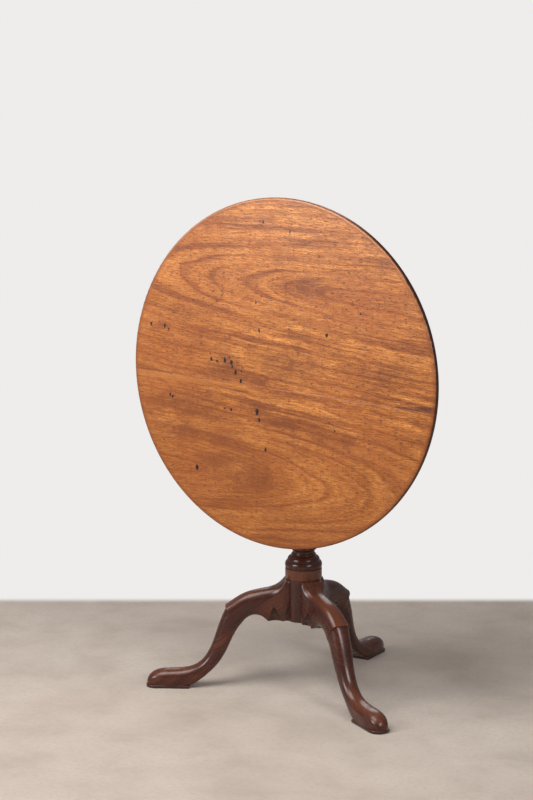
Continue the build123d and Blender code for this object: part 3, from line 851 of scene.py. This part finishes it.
def board_wood(tree, grain, fibres, patches, small):
    wood = ramp(tree, grain["Rings"], [(0.0, DARK_WOOD), (0.45, MIDDLE_WOOD), (1.0, LIGHT_WOOD)])
    wood = blend(tree, 0.1, wood, MIDDLE_WOOD)
    ribbon = ramp(tree, grain["Ribbon"], [(0.0, rgb(0.78, 0.72, 0.66)), (1.0, rgb(1.12, 1.14, 1.16))])
    wood = blend(tree, 1.0, wood, ribbon, "MULTIPLY")
    wood = blend(tree, 1.0, wood, fibres, "MULTIPLY")
    wood = wash(tree, wood, patches["Patches"], 0.42, rgb(0.36, 0.092, 0.019))
    return wash(tree, wood, small["Smears"], 0.16, rgb(0.24, 0.066, 0.018))


def add_stains(tree, wood, marks, grain, small):
    stain = times(tree, marks["Smudges"], fade(tree, small["Patches"], 0.0, 0.7, 0.3, 0.72))
    wood = blend(tree, stain, wood, rgb(0.17, 0.040, 0.010))
    wood = wash(tree, wood, marks["Cup Ring"], 0.5, rgb(0.20, 0.045, 0.012))
    return wash(tree, wood, grain["Pores"], 0.78, rgb(0.085, 0.022, 0.007))


print("A board's wood and its stains are ready to use")

# %% [markdown]
# The two boards meet in a glue line. It shows as a thin reddish line, fainter at the left, where a dark
# line lies over it and a pale band under it. At the right end a dark streak widens towards the rim.


# %% The glue line between the boards
def add_glue_line(tree, wood, marks, grain):
    over, along = marks["Over Joint"], marks["Along Joint"]
    line = between(tree, over, -0.5 * MM, 0.4 * MM, 0.7 * MM)
    line = times(tree, line, fade(tree, along, -0.12, 0.05, 0.25, 0.8))
    wood = blend(tree, line, wood, rgb(0.40, 0.16, 0.12))
    dark_line = between(tree, over, 0.4 * MM, 2.2 * MM, 1.8 * MM)
    dark_line = times(tree, times(tree, dark_line, fade(tree, along, -0.34, -0.16, 1.0, 0.0)), 0.65)
    wood = blend(tree, dark_line, wood, rgb(0.13, 0.040, 0.014))
    pale_line = between(tree, over, -13 * MM, -4 * MM, 4 * MM)
    pale_line = times(tree, times(tree, pale_line, fade(tree, along, -0.3, 0.0, 1.0, 0.0)), 0.4)
    wood = blend(tree, pale_line, wood, LIGHT_WOOD)
    streak_height = sum_of(tree, "MAXIMUM", fade(tree, along, 0.28, 0.4, 0.0, 15 * MM), 0.1 * MM)
    streak = between(tree, sum_of(tree, "DIVIDE", over, streak_height), 0.05, 0.8, 0.25)
    streak = times(tree, streak, fade(tree, grain["Fibres"], 0, 1, 0.95, 0.6))
    return blend(tree, streak, wood, rgb(0.075, 0.022, 0.012))


print("The glue line is ready to use")

# %% [markdown]
# The upper half of the front arris is rubbed pale, and the wood just inside it has darkened. Both follow
# the distance from the top's middle. The rim is nearly black, a little less so at its highest, and the
# back is dry. These two are told from the face by their depth.


# %% The rim of the top and its dry back
def add_edge(tree, wood, parts, small):
    up = sum_of(tree, "SUBTRACT", parts["Z"], top_middle.z)
    squares = sum_of(tree, "MULTIPLY_ADD", up, up, times(tree, parts["X"], parts["X"]))
    radius = sum_of(tree, "SQRT", squares)
    ragged = sum_of(tree, "MULTIPLY_ADD", small["Patches"], 1.2 * MM, radius)
    arris = between(tree, ragged, top_radius - 3.4 * MM, top_radius - 2.2 * MM, 0.8 * MM)
    front = fade(tree, parts["Y"], face_y + 1.5 * MM, face_y + 3.5 * MM, 1.0, 0.0)
    arris = times(tree, times(tree, arris, fade(tree, up, 0.05, 0.34, 0.0, 0.85)), front)
    wood = blend(tree, arris, wood, rgb(0.72, 0.36, 0.19))
    near_rim = between(tree, radius, top_radius - 7 * MM, top_radius, 5 * MM)
    wood = blend(tree, times(tree, near_rim, 0.5), wood, rgb(0.22, 0.062, 0.017))
    rim = fade(tree, parts["Y"], face_y + 0.7 * MM, face_y + 3.6 * MM)
    rim_dark = fade(tree, up, 0.3, 0.41, 0.97, 0.45)
    return blend(tree, times(tree, rim, rim_dark), wood, rgb(0.034, 0.009, 0.007))


def dry_back(tree, grain, fibres, patches):
    dry = ramp(tree, grain["Rings"], [(0.1, DRY_DARK), (0.9, DRY_LIGHT)])
    dry = blend(tree, 1.0, dry, fibres, "MULTIPLY")
    dry = wash(tree, dry, grain["Pores"], 0.5, rgb(0.06, 0.03, 0.018))
    return wash(tree, dry, patches["Smears"], 0.45, rgb(0.075, 0.042, 0.028))


print("The rim and the back are ready to use")

# %% [markdown]
# Now the layers come together, and a painted shade darkens the top towards its lower left. The heart is
# the point that a board's arches open from, and the tilt is how far its grain leans.


# %% The finish of one board
def board_finish(name, heart, tilt, arch, taper):
    finish, tree, shader, position = new_finish(name, 0.08, 0.2, specular=0.3)
    in_board = in_wood(tree, position, heart, (0, tilt, 0))
    grain = use_group(tree, grain_group, {
        "Place": in_board, "Arch": arch, "Taper": taper, "Wander": 0.0055, "Bands": 84.0,
    })
    patches = use_group(tree, patch_group, {"Place": position, "Size": 3.6})
    small = use_group(tree, patch_group, {"Place": in_board, "Size": 15.0})
    marks = use_group(tree, smudge_group, {"Place": position})
    parts = add_node(tree, "SeparateXYZ", {0: position}).outputs
    fibres = ramp(tree, grain["Fibres"], [(0.0, rgb(0.62, 0.54, 0.46)), (1.0, rgb(1.24, 1.32, 1.36))])
    wood = board_wood(tree, grain, fibres, patches, small)
    wood = add_stains(tree, wood, marks, grain, small)
    wood = add_glue_line(tree, wood, marks, grain)
    # Painted shade: the top darkens towards its lower left.
    lower_left = vector_of(tree, "DOT_PRODUCT", position, (-0.4, 0.0, -0.9))["Value"]
    painted_shade_lower_left = fade(tree, lower_left, -0.85, -0.3, 0.0, 0.42)
    wood = blend(tree, painted_shade_lower_left, wood, rgb(0.26, 0.078, 0.02))
    ink = use_group(tree, ink_group, {"Place": position})["Ink"]
    wood = blend(tree, ink, wood, rgb(0.010, 0.005, 0.004))
    wood = add_edge(tree, wood, parts, small)
    back = fade(tree, parts["Y"], underside_y - 2.2 * MM, underside_y - 0.6 * MM)
    wood = blend(tree, back, wood, dry_back(tree, grain, fibres, patches))
    tree.links.new(wood, shader.inputs["Base Color"])
    polish = fade(tree, patches["Smears"], 0, 1, 0.28, 0.38)
    polish = sum_of(tree, "MULTIPLY_ADD", grain["Pores"], 0.15, polish)
    polish = sum_of(tree, "MULTIPLY_ADD", small["Patches"], 0.05, polish)
    tree.links.new(sum_of(tree, "MULTIPLY_ADD", back, 0.3, polish), shader.inputs["Roughness"])
    height = sum_of(tree, "MULTIPLY_ADD", grain["Pores"], -1.5, grain["Fibres"])
    set_bump(tree, shader, height, 0.12, 0.0005)
    return finish


wide_finish = board_finish(
    "polished_wide_board", (0.215, face_y, 0.962), radians(3.7), -0.135, -0.03
)
narrow_finish = board_finish(
    "polished_narrow_board", (-0.29, face_y, 0.535), radians(2.0), 0.165, 0.045
)
dress(nodes["top_board_wide"], wide_finish)
dress(nodes["top_board_narrow"], narrow_finish)
print("The two boards are polished")

# %% [markdown]
# ### Dark mahogany for the base
#
# The legs and the column were stained darker and polished harder than the top. Dust, old polish and
# painted shade blacken the hollows, and whatever looks up is paler red-brown, partly rubbed and partly
# painted light from above. Painted shade darkens the column low down, between the legs. Each leg is a
# plank of its own, with its grain running from the knee to the foot, so each one gets its own turn of the
# same finish.


# %% The finish of the base
def base_finish(name, location, rotation, lit_and_rubbed, leg_gap_shade=0.0):
    """How pale the faces that look up are, by wear and painted light, and how dark the painted shade
    between the legs is.
    """
    finish, tree, shader, position = new_finish(name, 0.38, 0.2, specular=0.28)
    in_plank = in_wood(tree, position, location, rotation)
    grain = use_group(tree, grain_group, {
        "Place": in_plank, "Arch": 0.0, "Taper": 0.02, "Heart Offset": 0.2, "Wander": 0.006,
        "Bands": 90.0,
    })
    patches = use_group(tree, patch_group, {"Place": in_plank, "Size": 13.0})
    wear_and_shade = use_group(tree, wear_and_shade_group, {"Place": position, "Reach": 0.06})
    wood = ramp(tree, grain["Rings"], [
        (0.0, rgb(0.036, 0.009, 0.006)), (0.5, rgb(0.064, 0.0155, 0.008)),
        (1.0, rgb(0.105, 0.027, 0.013)),
    ])
    wood = wash(tree, wood, grain["Fibres"], 0.22, rgb(0.15, 0.042, 0.018))
    wood = wash(tree, wood, patches["Patches"], 0.6, rgb(0.034, 0.009, 0.006))
    wood = wash(tree, wood, grain["Pores"], 0.45, rgb(0.020, 0.006, 0.005))
    facing = add_node(tree, "SeparateXYZ", {0: add_node(tree, "NewGeometry").outputs["Normal"]})
    # Faces that look up turn paler: partly rubbed, partly painted light from above.
    lit_and_rubbed_top = fade(tree, facing.outputs["Z"], 0.15, 1.0, 0.0, lit_and_rubbed)
    lit_and_rubbed_top = times(tree, lit_and_rubbed_top, fade(tree, patches["Smears"], 0, 1, 1.0, 0.3))
    wood = blend(tree, lit_and_rubbed_top, wood, rgb(0.19, 0.058, 0.023))
    wood = wash(tree, wood, wear_and_shade["Corners"], 0.4, rgb(0.22, 0.068, 0.03))
    # Hollows darkened with dust and with painted shade.
    wood = wash(tree, wood, wear_and_shade["Hollow Dirt And Shade"], 0.7, rgb(0.012, 0.005, 0.004))
    height_up = add_node(tree, "SeparateXYZ", {0: position}).outputs["Z"]
    # Painted shade darkens the column low down, between the legs.
    painted_shade_between_legs = fade(tree, height_up, 0.25, 0.273, leg_gap_shade, 0.0)
    wood = blend(tree, painted_shade_between_legs, wood, rgb(0.030, 0.009, 0.006))
    scuffed = fade(tree, height_up, 4 * MM, 10 * MM, 0.75, 0.0)
    wood = blend(tree, scuffed, wood, rgb(0.022, 0.009, 0.008))
    tree.links.new(wood, shader.inputs["Base Color"])
    polish = fade(tree, patches["Smears"], 0, 1, 0.26, 0.4)
    polish = sum_of(tree, "MULTIPLY_ADD", wear_and_shade["Hollow Dirt And Shade"], 0.3, polish)
    tree.links.new(sum_of(tree, "MULTIPLY_ADD", scuffed, 0.2, polish), shader.inputs["Roughness"])
    height = sum_of(tree, "MULTIPLY_ADD", grain["Pores"], -1.2, grain["Fibres"])
    set_bump(tree, shader, height, 0.1, 0.0003)
    return finish


LEG_GRAIN_SLOPE = radians(37)
for name, angle in LEG_TURNS.items():
    finish = base_finish(
        "polished_" + name, (0, axis_y, 0.25), (0, LEG_GRAIN_SLOPE, radians(angle)), 0.5
    )
    dress(carved_legs[name], finish)
# The column's last number sets its painted shade between the legs.
column_finish = base_finish("polished_column", (0.02, axis_y, 0.3), (0, radians(-90), 0), 0.3, 0.6)
dress(turned_column, column_finish)
print("The base is stained and waxed")

# %% [markdown]
# ### Dry wood, brass, iron and steel
#
# The bearers and the block never show in use. They were planed, screwed on and left bare, so they have
# gone dry and brown. The catch is cast brass that has dulled to brown. The brace is black iron with rust,
# and the bearers' screws are dull steel. CAD meshes come in as loose triangles, so on seven of these
# pieces a Weld joins them and a small Bevel softens the arrises and catches the light.


# %% Soften the arrises of the CAD pieces that stay
def soften(name, width):
    piece = nodes[name]
    weld = piece.modifiers.new("weld", "WELD")
    weld.merge_threshold = TOUCHING
    bevel = piece.modifiers.new("soft arrises", "BEVEL")
    bevel.width = width * MM
    bevel.segments = 2
    bevel.limit_method = "ANGLE"
    bevel.angle_limit = radians(38)
    bevel.harden_normals = True


WOOD_ARRIS = 0.9
METAL_ARRIS = 0.3
for name in ("bearer_left", "bearer_right", "pivot_block"):
    soften(name, WOOD_ARRIS)
for name in ("brace_plate", "strike_plate", "catch_plate", "catch_case"):
    soften(name, METAL_ARRIS)
print("Softened seven CAD pieces")

# %% [markdown]
# Bare wood has no coat, a higher roughness and a stronger bump than polished wood. Dirt and painted
# shade darken its hollows, and handling leaves its corners pale.


# %% Dry wood
def dry_finish(name, location, rotation, light, dark):
    finish, tree, shader, position = new_finish(name, 0.0, 0.5)
    in_plank = in_wood(tree, position, location, rotation)
    grain = use_group(tree, grain_group, {
        "Place": in_plank, "Arch": 0.0, "Taper": 0.03, "Heart Offset": 0.15, "Wander": 0.006,
        "Bands": 120.0,
    })
    patches = use_group(tree, patch_group, {"Place": in_plank, "Size": 11.0})
    wear_and_shade = use_group(tree, wear_and_shade_group, {"Place": position, "Reach": 0.05})
    wood = ramp(tree, grain["Rings"], [(0.1, dark), (0.9, light)])
    fibres = ramp(tree, grain["Fibres"], [(0.0, rgb(0.72, 0.68, 0.64)), (1.0, rgb(1.18, 1.18, 1.18))])
    wood = blend(tree, 1.0, wood, fibres, "MULTIPLY")
    wood = wash(tree, wood, grain["Pores"], 0.5, rgb(0.045, 0.024, 0.015))
    wood = wash(tree, wood, patches["Patches"], 0.5, rgb(0.07, 0.034, 0.02))
    wood = wash(tree, wood, patches["Specks"], 0.6, rgb(0.03, 0.017, 0.012))
    wood = wash(tree, wood, wear_and_shade["Corners"], 0.5, rgb(0.33, 0.18, 0.095))
    # Hollows darkened with dirt and with painted shade.
    wood = wash(tree, wood, wear_and_shade["Hollow Dirt And Shade"], 0.7, rgb(0.03, 0.017, 0.012))
    tree.links.new(wood, shader.inputs["Base Color"])
    tree.links.new(fade(tree, patches["Smears"], 0, 1, 0.58, 0.78), shader.inputs["Roughness"])
    height = sum_of(tree, "MULTIPLY_ADD", grain["Pores"], -1.5, grain["Fibres"])
    set_bump(tree, shader, height, 0.22, 0.0006)
    return finish


BEARER_AWAY = 0.115
for name, x in (("bearer_left", -BEARER_AWAY), ("bearer_right", BEARER_AWAY)):
    dry = dry_finish("dry_" + name, (x, hinge.y, hinge.z), (0, radians(90), 0.05),
                     rgb(0.25, 0.122, 0.062), rgb(0.12, 0.055, 0.028))
    dress(nodes[name], dry)
block_finish = dry_finish("dry_block", (0, axis_y, block_high.z), (0.04, 0, 0),
                          rgb(0.20, 0.092, 0.048), rgb(0.095, 0.042, 0.022))
dress(nodes["pivot_block"], block_finish)
wedge_finish = dry_finish("dry_wedge", (0, axis_y, 0.7), (0, radians(90), 0),
                          rgb(0.36, 0.22, 0.12), rgb(0.22, 0.13, 0.07))
dress(nodes["tenon_wedge"], wedge_finish)
print("The bearers, the block and the wedge are dry")

# %% [markdown]
# All the metals share one finish: clean metal wears down to dull metal in patches, and dirt or rust
# makes it rougher and less metallic. Only the colours, the roughness, the size of the patches and the
# strength of the bumps differ.


# %% Old metal
def metal_finish(name, clean, dull, dirt, clean_rough, dull_rough, size, bump):
    finish, tree, shader, position = new_finish(name, 0.0, 0.3, metallic=1.0)
    patches = use_group(tree, patch_group, {"Place": position, "Size": size})
    wear_and_shade = use_group(tree, wear_and_shade_group, {"Place": position, "Reach": 0.04})
    metal = blend(tree, fade(tree, patches["Patches"], 0, 1, 0.15, 0.95), clean, dull)
    metal = wash(tree, metal, patches["Smears"], 0.45, dirt)
    metal = wash(tree, metal, patches["Specks"], 0.85, dirt)
    metal = wash(tree, metal, wear_and_shade["Corners"], 0.8, clean)
    metal = wash(tree, metal, wear_and_shade["Hollow Dirt And Shade"], 0.9, dirt)
    tree.links.new(metal, shader.inputs["Base Color"])
    dirty = sum_of(tree, "MAXIMUM", patches["Specks"], fade(tree, patches["Smears"], 0, 1, 0, 0.5))
    tree.links.new(fade(tree, dirty, 0, 1, 1.0, 0.35), shader.inputs["Metallic"])
    rough = fade(tree, patches["Patches"], 0, 1, clean_rough, dull_rough)
    tree.links.new(sum_of(tree, "MULTIPLY_ADD", dirty, 0.2, rough), shader.inputs["Roughness"])
    height = sum_of(tree, "MULTIPLY_ADD", patches["Specks"], -1.0, patches["Smears"])
    set_bump(tree, shader, height, bump, 0.0004)
    return finish


brass_finish = metal_finish(
    "aged_brass", rgb(0.62, 0.42, 0.16), rgb(0.30, 0.185, 0.075), rgb(0.075, 0.048, 0.022),
    0.28, 0.45, 70.0, 0.15,
)
iron_finish = metal_finish(
    "black_iron", rgb(0.13, 0.12, 0.115), rgb(0.045, 0.04, 0.038), rgb(0.15, 0.05, 0.02),
    0.45, 0.65, 45.0, 0.5,
)
steel_finish = metal_finish(
    "dull_steel", rgb(0.34, 0.31, 0.28), rgb(0.17, 0.145, 0.125), rgb(0.07, 0.032, 0.018),
    0.38, 0.55, 110.0, 0.3,
)
spring_finish = metal_finish(
    "spring_wire", rgb(0.50, 0.49, 0.47), rgb(0.30, 0.28, 0.26), rgb(0.08, 0.055, 0.04),
    0.25, 0.4, 160.0, 0.15,
)
METAL_PIECES = {
    "strike_plate": brass_finish, "strike_screws": brass_finish, "catch_plate": brass_finish,
    "catch_case": brass_finish, "catch_screws": brass_finish, "catch_bolt": brass_finish,
    "catch_knob": brass_finish, "brace_plate": iron_finish, "brace_nails": iron_finish,
    "bearer_screws_left": steel_finish, "bearer_screws_right": steel_finish,
    "catch_spring": spring_finish,
}
for name, finish in METAL_PIECES.items():
    dress(nodes[name], finish)
print(len(METAL_PIECES), "metal pieces have aged")

# %% [markdown]
# Drawing the knob slides the bolt back into its case, and the coil spring behind it shortens against
# the case's end wall. Here the spring only gets a mesh of its own.

# %% Give the spring a mesh of its own
spring = nodes["catch_spring"]
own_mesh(spring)

# %% [markdown]
# ## The room
#
# A plain pale floor, big soft lights and a bright surround are all that a piece of furniture needs. The
# floor turns from stone to glowing white where a wall would stand, so that the background stays bright
# and plain. It also fades to white far from the table, for views from the side and from behind.

# %% The floor
VIEW_TURN = radians(32.48)
WALL_DISTANCE = 0.764
FADE_START = 1.9
FADE_END = 3.4
FLOOR_SIZE = 40
ROOM_WHITE = rgb(0.86, 0.845, 0.83)
TABLE_MIDDLE = Vector((0, axis_y, 0.6))
let_go()
bpy.ops.mesh.primitive_plane_add(size=FLOOR_SIZE)
floor = new_piece("floor")
finish, tree, shader, position = new_finish("pale_stone", 0.0, 0.5, specular=0.0)
shader.inputs["Emission Strength"].default_value = 1.0
towards_wall = in_wood(tree, position, (0, axis_y, 0), (0, 0, VIEW_TURN))
wall_way = add_node(tree, "SeparateXYZ", {0: towards_wall}).outputs["Y"]
stone = ramp(tree, noise(tree, position, 5.0, 8.0, 0.6, 0.3), [
    (0.3, rgb(0.46, 0.385, 0.32)), (0.5, rgb(0.545, 0.46, 0.39)), (0.72, rgb(0.60, 0.515, 0.44)),
])
stone = blend(tree, fade(tree, noise(tree, position, 90.0, 4.0, 0.7), 0.45, 0.75, 0, 0.4), stone,
              rgb(0.40, 0.33, 0.28))
beyond = fade(tree, wall_way, WALL_DISTANCE - 0.02, WALL_DISTANCE + 0.04)
away = vector_of(tree, "LENGTH", towards_wall)["Value"]
beyond = sum_of(tree, "MAXIMUM", beyond, fade(tree, away, FADE_START, FADE_END))
black = rgb(0.0, 0.0, 0.0)
seen = add_node(tree, "LightPath").outputs["Is Camera Ray"]
glow = blend(tree, seen, rgb(0.26, 0.26, 0.27), ROOM_WHITE)
tree.links.new(blend(tree, beyond, stone, black), shader.inputs["Base Color"])
tree.links.new(blend(tree, beyond, black, glow), shader.inputs["Emission Color"])
tree.links.new(fade(tree, beyond, 0, 1, 0.7, 1.0), shader.inputs["Roughness"])
dress(floor, finish)
print("The floor is laid")

# %% The bright surround: white to look at, softer as a light
world = bpy.data.worlds.new("surround")
bpy.context.scene.world = world
world.use_nodes = True
sky = world.node_tree
background = sky.nodes["Background"]
seen = add_node(sky, "LightPath").outputs["Is Camera Ray"]
sky.links.new(blend(sky, seen, rgb(0.16, 0.17, 0.19), ROOM_WHITE), background.inputs["Color"])
bpy.context.scene.view_settings.view_transform = "Standard"
print("The surround is lit")

# %% [markdown]
# The strongest light is a large window at the left front. A weaker one at the right opens the shadows, and
# the weakest stands behind, for the back of the boards. A soft light like a bright ceiling hangs over the
# front. Each of them faces the table's middle.


# %% Three windows and a ceiling of soft light
def add_window(name, location, width, height, power):
    """An area light that faces the table's middle."""
    let_go()
    bpy.ops.object.light_add(type="AREA", location=location)
    window = bpy.context.object
    window.name = name
    window.data.shape = "RECTANGLE"
    window.data.size = width
    window.data.size_y = height
    window.data.energy = power
    away = Vector(location) - TABLE_MIDDLE
    window.rotation_euler = away.to_track_quat("Z", "Y").to_euler()


add_window("window_left", (-1.6, -3.3, 1.55), 1.3, 1.5, 66)
add_window("window_right", (3.0, -1.4, 2.0), 1.0, 1.4, 42)
add_window("window_behind", (-1.9, 3.2, 2.6), 2.0, 2.0, 24)
add_window("soft_ceiling", (-0.4, -1.25, 2.35), 1.6, 1.6, 42)

# %% [markdown]
# The camera stands well back with a long lens, so perspective hardly stretches the round top. It stands
# to the right and looks slightly down, and sees the top as a broad ellipse over all three feet.

# %% The camera, a little above the table's rim and to its right
CAMERA_PLACE = Vector((2.3655, axis_y - 3.8798, 1.4849))
CAMERA_PITCH = radians(9.80)
CAMERA_LENS = 88.62
bpy.ops.object.camera_add(location=CAMERA_PLACE, rotation=(radians(90) - CAMERA_PITCH, 0, VIEW_TURN))
camera = bpy.context.object
camera.data.lens = CAMERA_LENS
bpy.context.scene.camera = camera
print("The camera stands", round((CAMERA_PLACE - top_middle).length, 2), "m from the top")

# %% Import the json module
import json
